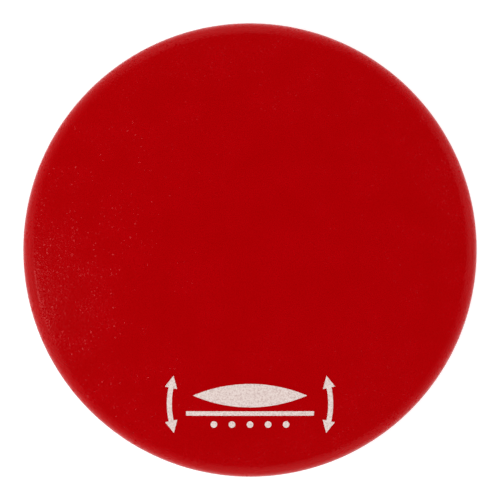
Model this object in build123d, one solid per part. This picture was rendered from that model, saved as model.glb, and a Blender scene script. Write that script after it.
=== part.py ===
from build123d import *
from math import atan2, cos, degrees, pi, radians, sin, sqrt, tan
import os

# Inflatable wobble cushion: a moulded PVC lens with a smooth sitting face, a nubbed foot face
# and a push-in stopper valve sunk in its rim. Millimetres, +Z up, origin on the floor under
# the middle of the cushion. The print and the valve are on the -Y side.

# Cushion
disc_diameter = 330.0
thickness = 65.0  # floor to the top of the crown, inflated
skin = 3.5  # moulded wall
edge_radius = 12.0  # roll of the rim, above and below its straight side
side_height = 9.0  # straight side between the two rolls
foot_flat_diameter = 150.0  # part of the foot face that lies flat on the floor
rim_lift = 28.0  # floor to the lower end of the straight side
band_rise = 8.0  # how far each rim band runs past the straight side, onto the roll

# Nubs of the foot face
nub_height = 3.0
nub_root_radius = 4.6
nub_tip_radius = 2.6
nub_pitch = 18.0  # between rings, and about the same along a ring
nub_root = 1.0  # how deep a nub is rooted in the skin

# Valve
valve_drop = 6.25  # parting line down to the valve's axis
boss_radius = 6.1
boss_length = 11.0  # inwards from the outermost point of the rim
pocket_radius = 5.8
flange_gap = 0.3
flange_thickness = 1.2
flange_recess = 2.2  # rim's outermost point in to the flange's front
barrel_radius = 3.6
barrel_length = 15.0  # behind the flange
barrel_gap = 0.05
barrel_lip = 0.8  # swelling that holds the inner end behind the boss
bore_radius = 2.2
stopper_gap = 0.08
stopper_shank_length = 13.0
stopper_taper = 0.5  # how much thinner the shank is at its tip
stopper_head_radius = 4.2
stopper_head_thickness = 0.9
stopper_grip_radius = 1.5
stopper_grip_length = 0.8

# Print on the sitting face: a cushion seen from the side, rocking on a floor line
ink = 0.3
print_y = -111.0  # middle of the print
lens_width = 82.0
lens_height = 17.0
lens_rise = 6.5
floor_line = (92.0, 3.2)
floor_line_drop = 6.5
arrow_radius = 58.0
arrow_half_angle = 12.0
arrow_width = 3.6
arrow_head = 9.0
dot_radius = 2.4
dot_pitch = 13.0
dot_count = 5
dot_drop = 14.5

# Worked out from the sizes above
rim_radius = disc_diameter / 2
roll_x = rim_radius - edge_radius  # middle of both rolls
roll_low = rim_lift
roll_high = rim_lift + side_height
parting_z = rim_lift + side_height / 2
fold_low = roll_low - band_rise  # foot face ends and rim starts
fold_high = roll_high + band_rise  # rim ends and sitting face starts
foot_edge = foot_flat_diameter / 2
valve_z = parting_z - valve_drop

# Outside its flat the foot face is a shallow cone, tangent to the lower roll.
foot_run = roll_x - foot_edge
foot_rise = roll_low - nub_height
foot_reach = sqrt(foot_run**2 + foot_rise**2 - edge_radius**2)
foot_slope = atan2(foot_rise, foot_run) - atan2(edge_radius, foot_reach)

# The crown is a sphere about crown_z that is tangent to the upper roll.
crown_rise = thickness - roll_high
crown_radius = (roll_x**2 + crown_rise**2 - edge_radius**2) / (2 * (crown_rise - edge_radius))
crown_z = thickness - crown_radius


def solid_of_revolution(inset):
    """The cushion's full form, with its surface moved in by inset."""
    roll = edge_radius - inset
    crown = crown_radius - inset
    crown_angle = atan2(roll_x, roll_high - crown_z)
    bottom, top = (0, nub_height + inset), (0, thickness - inset)
    flat_end = (foot_edge - inset * tan(foot_slope / 2), nub_height + inset)
    low_start = (roll_x + roll * sin(foot_slope), roll_low - roll * cos(foot_slope))
    low_middle = (roll_x + roll * cos(pi / 4), roll_low - roll * sin(pi / 4))
    side_low, side_high = (roll_x + roll, roll_low), (roll_x + roll, roll_high)
    high_middle = (roll_x + roll * cos(pi / 4), roll_high + roll * sin(pi / 4))
    high_end = (roll_x + roll * sin(crown_angle), roll_high + roll * cos(crown_angle))
    crown_middle = (crown * sin(crown_angle / 2), crown_z + crown * cos(crown_angle / 2))
    outline = (
        Polyline(bottom, flat_end, low_start)
        + ThreePointArc(low_start, low_middle, side_low)
        + Line(side_low, side_high)
        + ThreePointArc(side_high, high_middle, high_end)
        + ThreePointArc(high_end, crown_middle, top)
        + Line(top, bottom)
    )
    return revolve(Plane.XZ * make_face(outline), Axis.Z)


def slab(low, high):
    """Everything between two heights."""
    wide = disc_diameter * 2
    box = Box(wide, wide, high - low, align=(Align.CENTER, Align.CENTER, Align.MIN))
    return Pos(0, 0, low) * box


def bar(radius, outer, inner, tip_radius=None):
    """A round bar on the valve's axis, from outer to inner millimetres from the cushion's axis."""
    end = radius if tip_radius is None else tip_radius
    tapered = Cone(radius, end, outer - inner) if end != radius else Cylinder(radius, outer - inner)
    return Pos(0, -(outer + inner) / 2, valve_z) * Rot(X=-90) * tapered


def foot_face():
    """The lower face with its nubs, which stand on the floor in the flat middle."""
    skin_part = shell & slab(0, fold_low)
    nubs = []
    length = nub_height + nub_root
    nub = Cone(nub_tip_radius, nub_root_radius, length, align=(Align.CENTER, Align.CENTER, Align.MIN))
    rings = int((roll_x - nub_root_radius) / nub_pitch)
    for ring in range(rings + 1):
        radius = ring * nub_pitch
        lift = max(0.0, radius - foot_edge) * tan(foot_slope)
        for place in range(max(1, 6 * ring)):
            turn = 2 * pi * place / max(1, 6 * ring)
            nubs.append(Pos(radius * cos(turn), radius * sin(turn), lift) * nub)
    return skin_part.fuse(*nubs)


def lower_rim():
    """The lower half of the rim, with the boss and pocket that the valve sits in."""
    boss = bar(boss_radius, rim_radius, rim_radius - boss_length) & form
    seat = rim_radius - flange_recess - flange_thickness
    pocket = bar(pocket_radius, rim_radius + edge_radius, seat)
    hole = bar(barrel_radius + barrel_gap, rim_radius, rim_radius - boss_length - skin)
    return (shell & slab(fold_low, parting_z)) + boss - pocket - hole


def valve_sleeve():
    """Soft rubber sleeve: a flange in the pocket, a barrel through the boss and a lip behind it."""
    front = rim_radius - flange_recess
    back = front - flange_thickness
    boss_end = rim_radius - boss_length
    barrel_end = back - barrel_length
    lip_start = boss_end - barrel_gap
    sleeve = bar(pocket_radius - flange_gap, front, back) + bar(barrel_radius, back, barrel_end)
    sleeve += bar(barrel_radius + barrel_lip, lip_start, barrel_end, barrel_radius)
    return sleeve - bar(bore_radius, front, barrel_end)


def stopper():
    """The push-in stopper: a thin head on the flange, a tapered shank and a grip to pull it by."""
    seat = rim_radius - flange_recess
    front = seat + stopper_head_thickness
    shank = bore_radius - stopper_gap
    tip = seat - stopper_shank_length
    head = bar(stopper_head_radius, front, seat)
    grip = bar(stopper_grip_radius, front + stopper_grip_length, front)
    return head + bar(shank, seat, tip, shank - stopper_taper) + grip


def rocking_arrow(side):
    """A curved double arrow beside the lens; side is 1 to the right and -1 to the left."""
    swing = radians(arrow_half_angle)
    outer, inner = arrow_radius + arrow_width / 2, arrow_radius - arrow_width / 2
    wedge = Polygon(
        (0, 0),
        (2 * outer, -2 * outer * tan(swing)),
        (2 * outer, 2 * outer * tan(swing)),
        align=None,
    )
    arrow = (Circle(outer) - Circle(inner)) & wedge
    for up in (1, -1):
        head = Polygon((-arrow_head / 2, 0), (arrow_head / 2, 0), (0, arrow_head), align=None)
        place = Pos(arrow_radius * cos(swing), up * arrow_radius * sin(swing))
        lean = degrees(swing) if up == 1 else 180 - degrees(swing)
        arrow += place * Rot(Z=lean) * head
    return arrow if side == 1 else mirror(arrow, Plane.YZ)


def printed_mark():
    """Thin ink on the crown: a lens over a floor line, an arrow each side and a row of dots."""
    lens_radius = (lens_width**2 / 4 + lens_height**2 / 4) / lens_height
    shift = lens_radius - lens_height / 2
    upper_arc = Pos(0, lens_rise - shift) * Circle(lens_radius)
    lower_arc = Pos(0, lens_rise + shift) * Circle(lens_radius)
    marks = upper_arc & lower_arc
    marks += Pos(0, -floor_line_drop) * Rectangle(*floor_line)
    marks += rocking_arrow(1) + rocking_arrow(-1)
    for place in range(dot_count):
        across = (place - (dot_count - 1) / 2) * dot_pitch
        marks += Pos(across, -dot_drop) * Circle(dot_radius)
    column = extrude(Pos(0, print_y, parting_z) * marks, thickness)
    ball = Pos(0, 0, crown_z) * Sphere(crown_radius + ink)
    return (column & ball) - Pos(0, 0, crown_z) * Sphere(crown_radius)


form = solid_of_revolution(0)
shell = form - solid_of_revolution(skin)

nodes = {
    "foot_face": foot_face(),
    "lower_rim": lower_rim(),
    "upper_rim": shell & slab(parting_z, fold_high),
    "sitting_face": shell & slab(fold_high, thickness + ink),
    "valve_sleeve": valve_sleeve(),
    "valve_stopper": stopper(),
    "printed_mark": printed_mark(),
}

os.makedirs("parts", exist_ok=True)
for name, piece in nodes.items():
    export_step(piece, f"parts/{name}.step")
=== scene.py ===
from math import acos, asin, atan, cos, pi, radians, sin, sqrt, tan

import bmesh
import bpy
from mathutils import Matrix, Vector, noise


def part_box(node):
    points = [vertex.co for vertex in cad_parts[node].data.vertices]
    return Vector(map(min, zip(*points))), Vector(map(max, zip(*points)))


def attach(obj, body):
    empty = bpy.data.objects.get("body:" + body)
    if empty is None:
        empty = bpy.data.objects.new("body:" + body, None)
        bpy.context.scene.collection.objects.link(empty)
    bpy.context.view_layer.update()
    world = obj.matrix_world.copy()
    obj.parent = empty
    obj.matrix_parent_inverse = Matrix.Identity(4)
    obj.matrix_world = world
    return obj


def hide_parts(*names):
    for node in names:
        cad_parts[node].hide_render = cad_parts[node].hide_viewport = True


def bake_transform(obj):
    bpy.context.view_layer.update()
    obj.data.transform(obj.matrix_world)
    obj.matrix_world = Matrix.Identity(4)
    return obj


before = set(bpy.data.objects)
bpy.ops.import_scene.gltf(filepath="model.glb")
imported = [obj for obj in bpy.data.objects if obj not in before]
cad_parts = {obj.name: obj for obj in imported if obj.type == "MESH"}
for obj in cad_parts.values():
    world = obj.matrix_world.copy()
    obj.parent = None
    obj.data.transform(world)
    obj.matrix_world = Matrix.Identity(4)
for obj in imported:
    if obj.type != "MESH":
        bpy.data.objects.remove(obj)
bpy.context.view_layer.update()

# A moulded PVC wobble cushion, pumped tight. Metres, +Z up, floor at z = 0.
# Its print and its valve are on the -Y side.

MM = 0.001

# Places and sizes from the frame
rim_low_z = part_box("lower_rim")[0].z  # foot face ends, rim starts
parting_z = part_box("upper_rim")[0].z  # the mould's parting line
rim_high_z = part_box("sitting_face")[0].z  # rim ends, sitting face starts
crown_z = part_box("sitting_face")[1].z
rim_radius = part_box("lower_rim")[1].x
valve_low, valve_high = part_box("valve_sleeve")
valve_z = (valve_low.z + valve_high.z) / 2
flange_front = -valve_low.y  # distances along the valve run out from the cushion's axis
barrel_end = -valve_high.y
flange_radius = valve_high.x
mark_low, mark_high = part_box("printed_mark")

# The wall's section, as it was moulded
wall = 3.5 * MM
roll = 12 * MM  # radius of the rim above and below its straight side
band_rise = 8 * MM  # how far each rim band runs onto the roll
roll_x = rim_radius - roll
roll_low = rim_low_z + band_rise
roll_high = rim_high_z - band_rise
foot_flat = 75 * MM
flash_height = 0.3 * MM
flash_width = 0.9 * MM
around = 288  # steps round the cushion

# Nubs under the foot face
nub_height = 3 * MM
nub_root = 1 * MM
nub_pitch = 18 * MM
nub_root_radius = 4.6 * MM
nub_tip_radius = 2.6 * MM
nub_foot_flare = 0.7 * MM  # the root's fillet into the skin
nub_tip_round = 1.2 * MM

# Print, in a row down the cushion from the lens to the dots
print_middle = (mark_low.y + mark_high.y) / 2
lens_width, lens_height, lens_rise = 82 * MM, 17 * MM, 6.5 * MM
bar_width, bar_height, bar_drop = 92 * MM, 3.2 * MM, 6.5 * MM
arrow_radius, arrow_width, arrow_head = 58 * MM, 3.6 * MM, 9 * MM
arrow_swing = radians(12)  # from its middle to each head
dot_radius, dot_pitch, dot_drop = 2.4 * MM, 13 * MM, 14.5 * MM
ink_sunk, ink_raised = 0.15 * MM, 0.08 * MM  # the film's underside and top, from the skin

# Valve
pocket_radius = 5.8 * MM
boss_radius = 6.1 * MM
boss_end = rim_radius - 11 * MM
flange_back = flange_front - 1.2 * MM
barrel_radius = 3.6 * MM
barrel_gap = 0.05 * MM  # between the barrel and the boss
barrel_lip = 0.8 * MM  # swelling that holds the barrel behind the boss
bore_radius = 2.2 * MM
stopper_head_radius, stopper_head_thickness = 4.2 * MM, 0.9 * MM
stopper_grip_radius, stopper_grip_length = 1.5 * MM, 0.8 * MM
shank_radius, shank_length = 2.12 * MM, 13 * MM

# Slopes and curves that follow from the section
foot_run, foot_rise = roll_x - foot_flat, roll_low - nub_height
foot_reach = sqrt(foot_run**2 + foot_rise**2 - roll**2)
foot_slope = atan(foot_rise / foot_run) - atan(roll / foot_reach)
crown_rise = crown_z - roll_high
crown_radius = (roll_x**2 + crown_rise**2 - roll**2) / (2 * (crown_rise - roll))
crown_slope = asin(roll_x / (crown_radius - roll))


# ---------- camera ----------


def look_down():
    """The cushion from straight above, filling nine tenths of the frame."""
    camera_height = 1.5
    share = 0.907
    data = bpy.data.cameras.new("camera")
    camera = bpy.data.objects.new("camera", data)
    bpy.context.scene.collection.objects.link(camera)
    camera.location = (0, 0, camera_height)
    data.sensor_width = 36
    half_view = rim_radius / share
    data.lens = data.sensor_width / 2 * (camera_height - roll_high) / half_view
    data.clip_end = 50
    bpy.context.scene.camera = camera


look_down()


# ---------- colour and nodes ----------


def linear(code):
    """An sRGB hex colour as linear red, green, blue and alpha."""
    parts = [int(code[i : i + 2], 16) / 255 for i in (0, 2, 4)]
    return (*(c / 12.92 if c <= 0.04045 else ((c + 0.055) / 1.055) ** 2.4 for c in parts), 1)


def add(tree, kind, settings=None, links=None):
    """Adds one node. A setting is an input by name or number, or else the node's own property."""
    made = tree.nodes.new("ShaderNode" + kind)
    for name, value in (settings or {}).items():
        if isinstance(name, int) or name in made.inputs:
            made.inputs[name].default_value = value
        else:
            setattr(made, name, value)
    for name, source in (links or {}).items():
        tree.links.new(source, made.inputs[name])
    return made


def blank(name):
    """A material with an empty tree, and that tree."""
    material = bpy.data.materials.new(name)
    material.use_nodes = True
    material.node_tree.nodes.clear()
    return material, material.node_tree


def finish_surface(tree, settings, links):
    shader = add(tree, "BsdfPrincipled", settings, links)
    add(tree, "OutputMaterial", links={"Surface": shader.outputs["BSDF"]})


def leather_grain(tree, place, cell_size):
    """Height of a fine leather grain: shallow cells between soft ridges, with a finer grain in them."""
    cells = add(
        tree,
        "TexVoronoi",
        {"feature": "SMOOTH_F1", "Scale": 1 / cell_size, "Smoothness": 0.35, "Randomness": 1.0},
        {"Vector": place},
    )
    small = add(
        tree,
        "TexNoise",
        {"Scale": 2.2 / cell_size, "Detail": 3.0, "Roughness": 0.6},
        {"Vector": place},
    )
    fine_share = -0.45
    return add(
        tree,
        "Math",
        {"operation": "MULTIPLY_ADD", 1: fine_share},
        {0: small.outputs["Fac"], 2: cells.outputs["Distance"]},
    ).outputs[0]


def aslant_cells(tree, place, spacing, tilt):
    """The skin's normal, turned a little where a cell of the grain came out aslant. Just over half
    of the cells lie level, and the others lean each its own way, so a light glints on only a few."""
    level_share = 0.55
    cells = add(tree, "TexVoronoi", {"feature": "F1", "Scale": 1 / spacing}, {"Vector": place})
    colour = cells.outputs["Color"]
    centred = {"operation": "SUBTRACT", 1: (0.5, 0.5, 0.5)}
    way = add(tree, "VectorMath", centred, {0: colour}).outputs[0]
    chance = add(tree, "SeparateColor", links={"Color": colour}).outputs["Blue"]
    share = add(
        tree, "MapRange", {"From Min": level_share, "From Max": 1.0}, {"Value": chance}
    ).outputs["Result"]
    amount = add(tree, "Math", {"operation": "MULTIPLY"}, {0: share, 1: tilt}).outputs[0]
    turn = add(tree, "VectorMath", {"operation": "SCALE"}, {0: way, "Scale": amount}).outputs[0]
    level = add(tree, "NewGeometry").outputs["Normal"]
    tilted = add(tree, "VectorMath", {"operation": "ADD"}, {0: level, 1: turn}).outputs[0]
    return add(tree, "VectorMath", {"operation": "NORMALIZE"}, {0: tilted}).outputs[0]


grain_cell = 1.5 * MM  # about 1 mm on the real skin, drawn coarser so that it shows
aslant_cell = 1.1 * MM
most_tilt = 0.62  # an aslant cell's normal is turned by up to half of this along each axis


def moulded_pvc():
    """Soft PVC, rotationally moulded: a satin skin with a fine leather grain from the mould, which
    glints here and there. The grain swallows much of the sheen, so the specular level is far below
    that of smooth PVC. The pigment lies right at the surface, so what is left is tinted red."""
    material, tree = blank("soft_pvc_moulded_grain")
    place = add(tree, "TexCoord").outputs["Object"]
    patch = 24 * MM  # size of the patches where the mould's grain came out deeper
    flow = add(
        tree, "TexNoise", {"Scale": 1 / patch, "Detail": 2.0, "Roughness": 0.6}, {"Vector": place}
    ).outputs["Fac"]
    colour = add(tree, "ValToRGB", links={"Fac": flow})
    colour.color_ramp.elements[0].position = 0.3
    colour.color_ramp.elements[0].color = linear("b00004")
    colour.color_ramp.elements[1].position = 0.72
    colour.color_ramp.elements[1].color = linear("b50006")
    shine = add(tree, "MapRange", {"To Min": 0.20, "To Max": 0.23}, {"Value": flow}).outputs["Result"]
    depth = add(
        tree,
        "MapRange",
        {"From Min": 0.43, "From Max": 0.57, "To Min": 0.4, "To Max": 1.0},
        {"Value": flow},
    ).outputs["Result"]
    tilt = add(tree, "Math", {"operation": "MULTIPLY", 1: most_tilt}, {0: depth}).outputs[0]
    bump = add(
        tree,
        "Bump",
        {"Distance": 0.09 * MM},
        {
            "Height": leather_grain(tree, place, grain_cell),
            "Strength": depth,
            "Normal": aslant_cells(tree, place, aslant_cell, tilt),
        },
    )
    finish_surface(
        tree,
        {"IOR": 1.53, "Specular IOR Level": 0.13, "Specular Tint": linear("ff8c8c")},
        {"Base Color": colour.outputs["Color"], "Roughness": shine, "Normal": bump.outputs[0]},
    )
    return material


def screen_ink():
    """Vinyl screen ink: flat off-white, with darker specks where it came out thin."""
    material, tree = blank("vinyl_screen_ink")
    place = add(tree, "TexCoord").outputs["Object"]
    speck = 1.3 * MM  # finer on the real print, drawn coarser so that it shows
    thin = add(
        tree,
        "TexNoise",
        {"Scale": 1 / speck, "Detail": 2.0, "Roughness": 0.7},
        {"Vector": place},
    ).outputs["Fac"]
    cover = add(tree, "ValToRGB", links={"Fac": thin})
    cover.color_ramp.elements[0].position = 0.30
    cover.color_ramp.elements[0].color = linear("d3b7b1")
    cover.color_ramp.elements[1].position = 0.58
    cover.color_ramp.elements[1].color = linear("f1e0da")
    grain = leather_grain(tree, place, grain_cell)
    bump = add(tree, "Bump", {"Strength": 0.5, "Distance": 0.12 * MM}, {"Height": grain})
    finish_surface(
        tree,
        {"Roughness": 0.6, "IOR": 1.5, "Specular IOR Level": 0.3},
        {"Base Color": cover.outputs["Color"], "Normal": bump.outputs[0]},
    )
    return material


def moulded_rubber():
    """Soft black EPDM rubber, compression moulded: matte, with a faint bloom in small clouds."""
    material, tree = blank("soft_rubber_moulded")
    place = add(tree, "TexCoord").outputs["Object"]
    cloud = 2.5 * MM
    bloom = add(
        tree, "TexNoise", {"Scale": 1 / cloud, "Detail": 4.0}, {"Vector": place}
    ).outputs["Fac"]
    colour = add(tree, "ValToRGB", links={"Fac": bloom})
    colour.color_ramp.elements[0].color = linear("1b1b1c")
    colour.color_ramp.elements[1].color = linear("2f2e2e")
    bump = add(tree, "Bump", {"Strength": 0.3, "Distance": 0.03 * MM}, {"Height": bloom})
    finish_surface(
        tree,
        {"Roughness": 0.62, "IOR": 1.5},
        {"Base Color": colour.outputs["Color"], "Normal": bump.outputs[0]},
    )
    return material


def moulded_polyethylene():
    """Milky low-density polyethylene, injection moulded: waxy and a little cloudy, with a soft shine."""
    material, tree = blank("polyethylene_moulded")
    place = add(tree, "TexCoord").outputs["Object"]
    cloud = 4 * MM
    haze = add(
        tree, "TexNoise", {"Scale": 1 / cloud, "Detail": 3.0}, {"Vector": place}
    ).outputs["Fac"]
    colour = add(tree, "ValToRGB", links={"Fac": haze})
    colour.color_ramp.elements[0].color = linear("d9d6cf")
    colour.color_ramp.elements[1].color = linear("e6e3dd")
    bump = add(tree, "Bump", {"Strength": 0.2, "Distance": 0.02 * MM}, {"Height": haze})
    finish_surface(
        tree,
        {"Roughness": 0.38, "IOR": 1.51},
        {"Base Color": colour.outputs["Color"], "Normal": bump.outputs[0]},
    )
    return material


# ---------- shaping ----------


def evenly(start, end, steps):
    """Values at even steps, both ends included."""
    return [start + (end - start) * step / steps for step in range(steps + 1)]


def on_arc(middle, radius, turn):
    """A point on an arc in the section. Its angle runs from straight down, by the rim, to up."""
    return middle[0] + radius * sin(turn), middle[1] - radius * cos(turn)


def arc(middle, radius, start, end, steps):
    return [on_arc(middle, radius, turn) for turn in evenly(start, end, steps)]


def straight(start, end, steps):
    return [
        (start[0] + (end[0] - start[0]) * s / steps, start[1] + (end[1] - start[1]) * s / steps)
        for s in range(steps + 1)
    ]


def spun(outline, steps=around):
    """A closed outline of (radius, height) points, spun about Z into a closed solid."""
    shape = bmesh.new()
    points = [shape.verts.new((x, 0, z)) for x, z in outline]
    edges = [shape.edges.new((a, b)) for a, b in zip(points, points[1:] + points[:1])]
    bmesh.ops.spin(
        shape,
        geom=points + edges,
        cent=(0, 0, 0),
        axis=(0, 0, 1),
        dvec=(0, 0, 0),
        angle=2 * pi,
        steps=steps,
        use_merge=True,
    )
    bmesh.ops.remove_doubles(shape, verts=shape.verts, dist=1e-7)
    bmesh.ops.recalc_face_normals(shape, faces=shape.faces)
    return shape


crisp_angle = radians(40)  # an edge sharper than this stays crisp


def piece(name, shape, material):
    """Makes a shape a smooth-shaded object."""
    mesh = bpy.data.meshes.new(name)
    shape.to_mesh(mesh)
    shape.free()
    mesh.materials.append(material)
    mesh.shade_smooth()
    mesh.set_sharp_from_angle(angle=crisp_angle)
    made = bpy.data.objects.new(name, mesh)
    bpy.context.scene.collection.objects.link(made)
    return made


def thinned(points):
    """Leaves out points that fall on the one before."""
    kept = points[:1]
    for p in points[1:]:
        if abs(p[0] - kept[-1][0]) + abs(p[1] - kept[-1][1]) > 1e-6:
            kept.append(p)
    return kept


def wall_section(outer, inner):
    """A stretch of wall: its outer line, then its inner line back."""
    return thinned(outer + inner[::-1])


def unevenness(x, y):
    """How far the pumped skin stands off its true form: slow swells that die out at the rim."""
    wide_swell, narrow_swell, height = 62 * MM, 31 * MM, 0.22 * MM
    reach = sqrt(x * x + y * y) / roll_x
    fade = max(0.0, 1 - reach**6)
    wide = noise.noise(Vector((x, y, 0)) / wide_swell)
    narrow = noise.noise(Vector((x, y, 0.2)) / narrow_swell)
    return height * fade * (wide + 0.5 * narrow)


def crown_height(x, y):
    """The sitting face's height at a point."""
    return crown_z - crown_radius + sqrt(crown_radius**2 - x * x - y * y) + unevenness(x, y)


# ---------- the cushion's wall ----------

seam = 0.02 * MM  # length of the last step before a join, so that both sides shade alike


def fold_arc(middle, start, end, steps, inset=0.0, join_at_end=True):
    """A roll's arc, with one very short step where it meets the next piece of wall."""
    radius = roll - inset
    short = seam / radius * (1 if end > start else -1)
    if join_at_end:
        return arc(middle, radius, start, end - short, steps) + [on_arc(middle, radius, end)]
    return [on_arc(middle, radius, start)] + arc(middle, radius, start + short, end, steps)


def fold_turn(inset):
    """Where the level cut between two pieces of wall crosses the roll, from straight down."""
    return acos(band_rise / (roll - inset)) if band_rise < roll - inset else 0.0


def sitting_face():
    """The smooth face: a shallow crown that rolls over into the rim."""
    lines = []
    edge = pi - crown_slope
    for inset, steps, roll_steps in ((0.0, 56, 10), (wall, 14, 4)):
        crown = arc((0, crown_z - crown_radius), crown_radius - inset, pi, edge, steps)
        over = fold_arc((roll_x, roll_high), edge, pi - fold_turn(inset), roll_steps, inset)
        lines.append(crown + over)
    shape = spun(wall_section(*lines))
    for point in shape.verts:
        point.co.z += unevenness(point.co.x, point.co.y)
    face = piece("sitting_face_skin", shape, pvc)
    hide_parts("sitting_face")
    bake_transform(face)
    return face


def flash(rising):
    """Half of the fine ridge that the mould's parting line leaves, on one side of it."""
    side = 1 if rising else -1
    ridge = [
        (rim_radius + flash_height * sin(t) ** 2, parting_z - side * flash_width / 2 * cos(t))
        for t in evenly(0, pi / 2, 5)
    ]
    return ridge if rising else ridge[::-1]


def upper_rim():
    """The upper half of the rim, from the parting line to the sitting face."""
    outer = flash(False) + fold_arc((roll_x, roll_high), pi / 2, pi - fold_turn(0), 12)
    inner_roll = arc((roll_x, roll_high), roll - wall, pi / 2, pi - fold_turn(wall), 5)
    inner = [(rim_radius - wall, parting_z)] + inner_roll
    rim = piece("upper_rim_skin", spun(wall_section(outer, inner)), pvc)
    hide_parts("upper_rim")
    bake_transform(rim)
    return rim


def along_valve(shape):
    """Turns a shape spun about Z so that its height runs out along the valve, towards -Y."""
    quarter_turn = Matrix.Rotation(pi / 2, 3, "X")
    bmesh.ops.rotate(shape, verts=shape.verts, cent=(0, 0, 0), matrix=quarter_turn)
    bmesh.ops.translate(shape, verts=shape.verts, vec=(0, 0, valve_z))
    return shape


def pocket_cutter():
    """The valve's pocket, whose mouth flares so that its edge is rounded, and the hole behind."""
    hole = barrel_radius + barrel_gap
    flare = 0.9 * MM
    mouth = rim_radius - 0.1 * MM
    inner, outer = boss_end - 5 * MM, rim_radius + 3 * MM  # both ends stand clear of the wall
    rounded = [
        (pocket_radius + flare * (1 - cos(t)), mouth - flare + flare * sin(t))
        for t in evenly(0, pi / 2, 6)
    ]
    outline = [(0, inner), (hole, inner), (hole, flange_back), (pocket_radius, flange_back)]
    outline += rounded + [(rounded[-1][0], outer), (0, outer)]
    return along_valve(spun(outline, 64))


def carve(target, name, shape, operation):
    """Joins a shape to a piece or cuts it away, for good."""
    tool = piece(name, shape, pvc)
    step = target.modifiers.new(name, "BOOLEAN")
    step.operation = operation
    step.solver = "EXACT"
    step.object = tool
    bpy.context.view_layer.update()
    graph = bpy.context.evaluated_depsgraph_get()
    done = bpy.data.meshes.new_from_object(target.evaluated_get(graph))
    target.modifiers.clear()
    target.data = done
    bpy.data.objects.remove(tool)


def lower_rim():
    """The lower half of the rim, with the boss inside it that holds the valve."""
    outer = fold_arc((roll_x, roll_low), fold_turn(0), pi / 2, 12, join_at_end=False) + flash(True)
    inner = arc((roll_x, roll_low), roll - wall, fold_turn(wall), pi / 2, 5)
    inner += [(rim_radius - wall, parting_z)]
    rim = piece("lower_rim_skin", spun(wall_section(outer, inner)), pvc)
    outline = [(0, boss_end), (boss_radius, boss_end), (boss_radius, flange_back), (0, flange_back)]
    boss = spun(outline, 48)
    carve(rim, "boss", along_valve(boss), "UNION")
    carve(rim, "pocket", pocket_cutter(), "DIFFERENCE")
    rim.data.shade_smooth()
    rim.data.set_sharp_from_angle(angle=crisp_angle)
    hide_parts("lower_rim")
    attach(rim, "rim_low")
    return rim


def foot_line(inset, steps, roll_steps):
    """The foot face's section: flat in the middle, then a shallow cone up to the lower roll."""
    soften = 30 * MM  # length over which the flat turns into the cone
    corner = (foot_flat, nub_height + inset)
    bend_start = (corner[0] - soften, corner[1])
    bend_end = (corner[0] + soften * cos(foot_slope), corner[1] + soften * sin(foot_slope))
    bend = [
        tuple(
            bend_start[i] * (1 - t) ** 2 + corner[i] * 2 * t * (1 - t) + bend_end[i] * t**2
            for i in (0, 1)
        )
        for t in evenly(0, 1, 8)
    ]
    flat = straight((0, corner[1]), bend_start, steps)
    low = fold_arc((roll_x, roll_low), foot_slope, fold_turn(inset), roll_steps, inset)
    cone = straight(bend_end, low[0], steps * 2)
    return flat + bend + cone + low


def foot_skin_height(reach):
    """Height of the foot face's outer skin under the nub at that distance from the middle."""
    return nub_height + max(0.0, reach - foot_flat) * tan(foot_slope)


def foot_face():
    """The lower face of the wall, without its nubs."""
    shape = spun(wall_section(foot_line(0.0, 12, 10), foot_line(wall, 5, 4)))
    foot = piece("foot_face_skin", shape, pvc)
    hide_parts("foot_face")
    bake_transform(foot)
    return foot


def one_nub():
    """A moulded nub: flared where it leaves the skin, with a rounded tip pressed flat on the floor."""
    skirt = nub_root_radius + nub_foot_flare
    top = nub_height + nub_root
    waist = nub_root_radius - 0.3 * MM  # where the flare ends
    side = nub_tip_radius + 0.2 * MM  # where the tip's rounding starts
    foot_edge = 0.05 * MM  # thickness of the flare's edge, so that it isn't a knife edge
    flare = [
        (waist + nub_foot_flare * (1 - sin(t)), nub_height - nub_foot_flare * (1 - cos(t)))
        for t in evenly(0, pi / 2, 4)
    ]
    rounded = [
        (side - nub_tip_round * (1 - cos(t)), nub_tip_round * (1 - sin(t)))
        for t in evenly(0, pi / 2, 5)
    ]
    outline = [(0, top), (skirt, top), (skirt, nub_height + foot_edge)]
    outline += flare[1:] + rounded + [(0, 0)]
    return spun(thinned(outline), 20)


def nubs():
    """Rings of nubs over the whole foot face, six more in each ring than in the last."""
    pattern = bpy.data.meshes.new("nub")
    nub = one_nub()
    nub.to_mesh(pattern)
    nub.free()
    shape = bmesh.new()
    for ring in range(int((roll_x - nub_root_radius) / nub_pitch) + 1):
        reach = ring * nub_pitch
        count = max(1, 6 * ring)
        for place in range(count):
            turn = 2 * pi * place / count
            first = len(shape.verts)
            shape.from_mesh(pattern)
            shape.verts.ensure_lookup_table()
            spot = (reach * cos(turn), reach * sin(turn), foot_skin_height(reach) - nub_height)
            bmesh.ops.translate(shape, verts=shape.verts[first:], vec=spot)
    bpy.data.meshes.remove(pattern)
    made = piece("foot_nubs", shape, pvc)
    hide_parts("foot_face")
    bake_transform(made)
    return made


# ---------- the print ----------


def flat_outline(points):
    """One flat face from its outline."""
    shape = bmesh.new()
    shape.faces.new([shape.verts.new((x, y, 0)) for x, y in points])
    return shape


def lens_mark(y):
    """A cushion seen from the side: two shallow arcs that meet at the ends."""
    radius = (lens_width**2 + lens_height**2) / 4 / lens_height
    half = asin(lens_width / 2 / radius)
    top = [
        (radius * sin(t), y + radius * cos(t) - radius + lens_height / 2)
        for t in evenly(-half, half, 24)
    ]
    low = [(x, 2 * y - high) for x, high in top[-2:0:-1]]
    return flat_outline(top + low)


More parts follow.
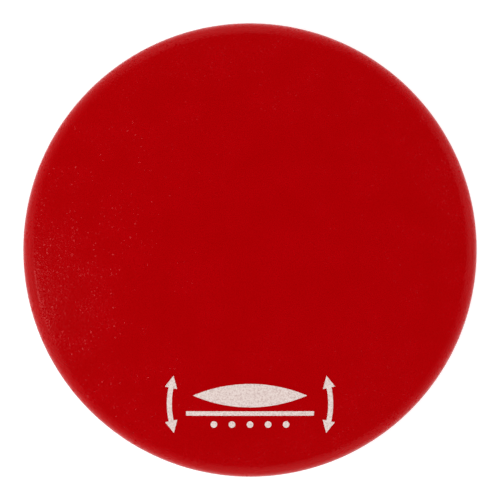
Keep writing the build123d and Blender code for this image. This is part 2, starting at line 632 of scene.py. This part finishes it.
def arrow_mark(side, y):
    """A curved double arrow beside the lens; side is 1 to the right and -1 to the left."""
    outer, inner = arrow_radius + arrow_width / 2, arrow_radius - arrow_width / 2
    swing = evenly(-arrow_swing, arrow_swing, 10)

    def head(way):
        """The three corners of the upper head, or of the lower one where way is -1."""
        wide, narrow = arrow_radius + arrow_head / 2, arrow_radius - arrow_head / 2
        x = arrow_radius * cos(arrow_swing) - arrow_head * sin(arrow_swing)
        rise = arrow_radius * sin(arrow_swing) + arrow_head * cos(arrow_swing)
        return [
            (wide * cos(arrow_swing), way * wide * sin(arrow_swing)),
            (x, way * rise),
            (narrow * cos(arrow_swing), way * narrow * sin(arrow_swing)),
        ]

    outline = [(outer * cos(t), outer * sin(t)) for t in swing] + head(1)
    outline += [(inner * cos(t), inner * sin(t)) for t in reversed(swing)] + head(-1)[::-1]
    placed = [(side * x, y + rise) for x, rise in outline]
    return flat_outline(placed if side == 1 else placed[::-1])


def bar_mark(y):
    x = bar_width / 2
    low, high = y - bar_height / 2, y + bar_height / 2
    return flat_outline([(-x, low), (x, low), (x, high), (-x, high)])


def dot_mark(x, y):
    round_it = evenly(0, 2 * pi, 24)[:-1]
    return flat_outline([(x + dot_radius * cos(t), y + dot_radius * sin(t)) for t in round_it])


def laid_on_crown(shape):
    """Cuts a flat mark fine enough to follow the crown, and lays it there as a film of ink."""
    step = 3 * MM
    for axis in (0, 1):
        values = [v.co[axis] for v in shape.verts]
        line = (min(values) // step + 1) * step
        while line < max(values):
            middle = [0, 0, 0]
            middle[axis] = line
            normal = [0, 0, 0]
            normal[axis] = 1
            everything = shape.verts[:] + shape.edges[:] + shape.faces[:]
            bmesh.ops.bisect_plane(shape, geom=everything, plane_co=middle, plane_no=normal)
            line += step
    for point in shape.verts:
        point.co.z = crown_height(point.co.x, point.co.y) - ink_sunk
    top = bmesh.ops.extrude_face_region(shape, geom=shape.faces[:])["geom"]
    raised = [v for v in top if isinstance(v, bmesh.types.BMVert)]
    bmesh.ops.translate(shape, verts=raised, vec=(0, 0, ink_sunk + ink_raised))
    bmesh.ops.recalc_face_normals(shape, faces=shape.faces)
    return shape


def printed_mark():
    """A cushion rocking over a floor line, between two curved arrows, with a row of dots below."""
    marks = [lens_mark(print_middle + lens_rise), bar_mark(print_middle - bar_drop)]
    marks += [arrow_mark(1, print_middle), arrow_mark(-1, print_middle)]
    marks += [dot_mark(across * dot_pitch, print_middle - dot_drop) for across in range(-2, 3)]
    whole = bmesh.new()
    for mark in marks:
        film = bpy.data.meshes.new("film")
        laid_on_crown(mark).to_mesh(film)
        mark.free()
        whole.from_mesh(film)
        bpy.data.meshes.remove(film)
    made = piece("printed_mark_ink", whole, ink)
    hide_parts("printed_mark")
    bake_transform(made)
    return made


# ---------- the valve ----------


def rounded_corner(radius, height, fillet):
    """A rounded outer corner of a turned part, from its side up to its front."""
    return [
        (radius - fillet * (1 - cos(t)), height - fillet * (1 - sin(t)))
        for t in evenly(0, pi / 2, 4)
    ]


def valve_sleeve():
    """The soft sleeve: a flange in the pocket, a barrel through the boss and a lip behind it."""
    lip = barrel_radius + barrel_lip
    lip_front = boss_end - barrel_gap
    lip_back = boss_end - 0.4 * MM  # from here the lip tapers to the barrel's end
    flange_round = 0.4 * MM
    groove_inner, groove_outer = 4.2 * MM, 4.7 * MM  # a shallow ring round the stopper's head
    groove_floor = flange_front - 0.15 * MM
    groove_slope = 0.1 * MM
    bevel = 0.3 * MM  # at the mouth of the bore
    outline = [(bore_radius, barrel_end), (barrel_radius, barrel_end), (lip, lip_back)]
    outline += [(lip, lip_front), (barrel_radius, lip_front), (barrel_radius, flange_back)]
    outline += [(flange_radius, flange_back)]
    outline += rounded_corner(flange_radius, flange_front, flange_round)
    outline += [(groove_outer, flange_front), (groove_outer - groove_slope, groove_floor)]
    outline += [(groove_inner + groove_slope, groove_floor), (groove_inner, flange_front)]
    outline += [(bore_radius + bevel, flange_front), (bore_radius, flange_front - bevel)]
    made = piece("valve_sleeve_rubber", along_valve(spun(outline, 64)), rubber)
    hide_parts("valve_sleeve")
    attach(made, "rim_low")
    return made


def valve_stopper():
    """The stopper: a thin domed head, a grip to pull it by and a tapered shank with a bead."""
    head, grip = stopper_head_radius, stopper_grip_radius
    seat = flange_front
    front = seat + stopper_head_thickness
    end = front + stopper_grip_length
    tip = seat - shank_length
    point, point_edge = shank_radius - 0.9 * MM, shank_radius - 0.5 * MM  # the tip is bevelled
    point_length = 0.5 * MM
    bead_back, bead, bead_front = (seat - back * MM for back in (1.2, 0.9, 0.5))
    neck = shank_radius - 0.04 * MM  # on both sides of the bead
    bevel = 0.15 * MM  # on the head's underside, and round the grip's root
    dome = 0.1 * MM  # the head's middle stands this much above its edge
    head_round, grip_round = 0.45 * MM, 0.3 * MM
    outline = [(0, tip), (point, tip), (point_edge, tip + point_length)]
    outline += [(neck, bead_back), (shank_radius, bead), (neck, bead_front), (shank_radius, seat)]
    outline += [(head - bevel, seat), (head, seat + bevel)]
    outline += rounded_corner(head, front - dome, head_round)
    outline += [(grip + 0.5 * MM, front), (grip + 0.1 * MM, front + bevel)]
    outline += rounded_corner(grip, end, grip_round) + [(0, end)]
    made = piece("valve_stopper_plug", along_valve(spun(thinned(outline), 48)), polyethylene)
    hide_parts("valve_stopper")
    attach(made, "stopper")
    return made


# ---------- studio ----------


def glowing_floor_painted_shadow():
    """A pale matte floor that glows beyond the cushion and not under it. The glow is painted light that
    whitens the floor and the real shadow round the cushion, and leaving it out paints a shadow under it."""
    half_side = 12
    shape = bmesh.new()
    bmesh.ops.create_grid(shape, x_segments=1, y_segments=1, size=half_side)
    material, tree = blank("glowing_floor_painted_shadow")
    place = add(tree, "TexCoord").outputs["Object"]
    reach = add(tree, "VectorMath", {"operation": "LENGTH"}, {0: place}).outputs["Value"]
    # Painted shadow under the cushion: no glow inside 0.88 of the rim's radius, rising to full just past
    # the rim, where the glow paints over the real shadow.
    painted_shadow_to, painted_glow_from = 0.88 * rim_radius, 1.04 * rim_radius
    near = add(
        tree,
        "MapRange",
        {"From Min": painted_shadow_to, "From Max": painted_glow_from, "To Min": 0.0, "To Max": 0.65},
        {"Value": reach},
    ).outputs["Result"]
    # More glow far out: painted light that keeps the distant floor, which the soft boxes light less, as
    # white as the near floor.
    far = add(
        tree,
        "MapRange",
        {"From Min": 0.5, "From Max": 3.0, "To Min": 0.0, "To Max": 0.35},
        {"Value": reach},
    ).outputs["Result"]
    both = add(tree, "Math", {"operation": "ADD"}, {0: near, 1: far}).outputs[0]
    matte = add(tree, "BsdfDiffuse", {"Color": linear("e2e2e2")})
    glow = add(tree, "Emission", {"Color": linear("ffffff")}, {"Strength": both})
    whole = add(tree, "AddShader", links={0: matte.outputs[0], 1: glow.outputs[0]})
    add(tree, "OutputMaterial", links={"Surface": whole.outputs[0]})
    floor = piece("floor", shape, material)


def soft_box(name, turn, lean, distance, size, watts):
    """A square soft light aimed at the cushion. turn is from +X round to +Y, lean from overhead."""
    data = bpy.data.lights.new(name, "AREA")
    data.shape = "SQUARE"
    data.size = size
    data.energy = watts
    light = bpy.data.objects.new(name, data)
    bpy.context.scene.collection.objects.link(light)
    way = Vector((sin(lean) * cos(turn), sin(lean) * sin(turn), cos(lean)))
    light.location = way * distance
    light.rotation_euler = way.to_track_quat("Z", "Y").to_euler()


def studio():
    """Pale walls all round under a dark ceiling, and a ring of soft boxes low round the cushion.
    One small box higher up makes the grain glint at the left."""
    world = bpy.data.worlds.new("studio")
    bpy.context.scene.world = world
    world.use_nodes = True
    tree = world.node_tree
    tree.nodes.clear()
    way = add(tree, "TexCoord").outputs["Generated"]
    height = add(tree, "SeparateXYZ", links={"Vector": way}).outputs["Z"]
    glow = add(
        tree,
        "MapRange",
        {"From Min": 0.35, "From Max": 0.90, "To Min": 1.15, "To Max": 0.0},
        {"Value": height},
    ).outputs["Result"]
    back = add(tree, "Background", {"Color": linear("ffffff")}, {"Strength": glow})
    add(tree, "OutputWorld", links={"Surface": back.outputs[0]})
    distance = 2.2
    for place in range(4):
        turn = radians(12 + 90 * place)
        soft_box(f"ring_box_{place}", turn, lean=radians(60), distance=distance, size=1.6, watts=10)
    soft_box(
        "left_sheen", radians(193), lean=radians(40), distance=distance, size=0.15, watts=6.0
    )
    bpy.context.scene.view_settings.view_transform = "Standard"


pvc = moulded_pvc()
ink = screen_ink()
rubber = moulded_rubber()
polyethylene = moulded_polyethylene()

sitting_face()
upper_rim()
lower_rim()
foot_face()
nubs()
printed_mark()
valve_sleeve()
valve_stopper()
glowing_floor_painted_shadow()
studio()
